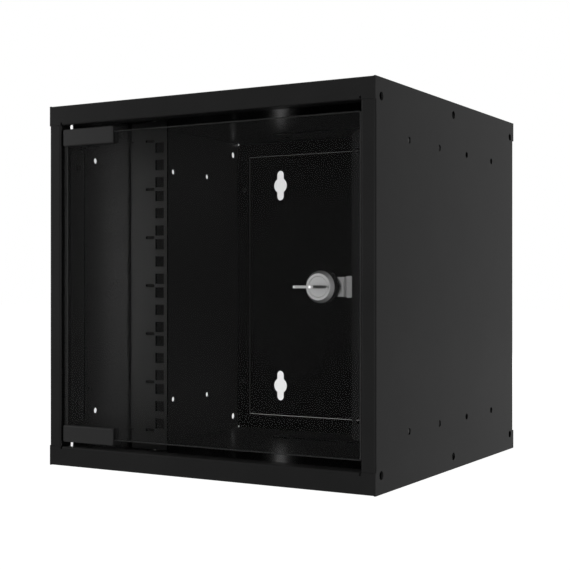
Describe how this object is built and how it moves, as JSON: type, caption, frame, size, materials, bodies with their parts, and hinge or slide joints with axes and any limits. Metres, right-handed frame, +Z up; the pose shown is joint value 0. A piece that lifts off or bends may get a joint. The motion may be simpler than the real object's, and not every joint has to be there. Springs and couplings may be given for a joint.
{
  "type": "wall mount network cabinet",
  "caption": "Small wall mounted rack cabinet with a hinged tinted glass door, cam lock and key, folded steel shell and punched mounting rails.",
  "frame": {"origin": "centre of the rear face that lies against the wall", "axes": "+X right as seen from the front, +Y from the front into the wall, +Z up"},
  "size_m": [0.308, 0.327, 0.306],
  "materials": {
    "powder_coat": "fine matt powder coat",
    "tinted_glass": "grey tinted toughened glass",
    "clamp_coat": "satin black coat",
    "bright_steel": "bright plated",
    "black_steel": "black oxide",
    "nickel_plate": "nickel plate",
    "zinc_plate": "bright zinc",
    "brass": "plain",
    "rubber": "matt black",
    "nylon": "black nylon"
  },
  "bodies": {
    "cabinet": {"side_panel_left": "powder_coat", "side_panel_right": "powder_coat", "top_panel": "powder_coat", "bottom_panel": "powder_coat", "rear_panel": "powder_coat", "rear_panel_screws": "black_steel", "cable_cover_top": "powder_coat", "cable_cover_bottom": "powder_coat", "cable_cover_screws": "black_steel", "mounting_rail_left": "powder_coat", "mounting_rail_right": "powder_coat", "rail_screws": "black_steel", "hinge_bush_top": "nylon", "hinge_bush_bottom": "nylon"},
    "door": {"door_glass": "tinted_glass", "hinge_clamp_top": "clamp_coat", "hinge_clamp_bottom": "clamp_coat", "clamp_pads_top": "rubber", "clamp_pads_bottom": "rubber", "clamp_screws": "black_steel", "hinge_pin_top": "bright_steel", "hinge_pin_bottom": "bright_steel", "lock_body": "nickel_plate", "lock_gasket": "rubber", "lock_rear_washer": "rubber", "lock_tooth_washer": "black_steel", "lock_nut": "black_steel"},
    "plug": {"lock_plug": "nickel_plate", "lock_wafers": "brass", "lock_cam": "zinc_plate", "cam_screw": "zinc_plate"},
    "key": {"key": "nickel_plate"}
  },
  "joints": [
    {"name": "door_hinge", "type": "hinge", "parent": "cabinet", "child": "door", "pos_m": [-0.133, -0.2955, 0], "axis": [0, 0, -1], "range_deg": [0, 120]},
    {"name": "lock_turn", "type": "hinge", "parent": "door", "child": "plug", "pos_m": [0.1073, -0.29, -0.0008], "axis": [0, 1, 0], "range_deg": [0, 90]},
    {"name": "key_slide", "type": "slide", "parent": "plug", "child": "key", "axis": [0, -1, 0], "range_m": [0, 0.02]}
  ]
}
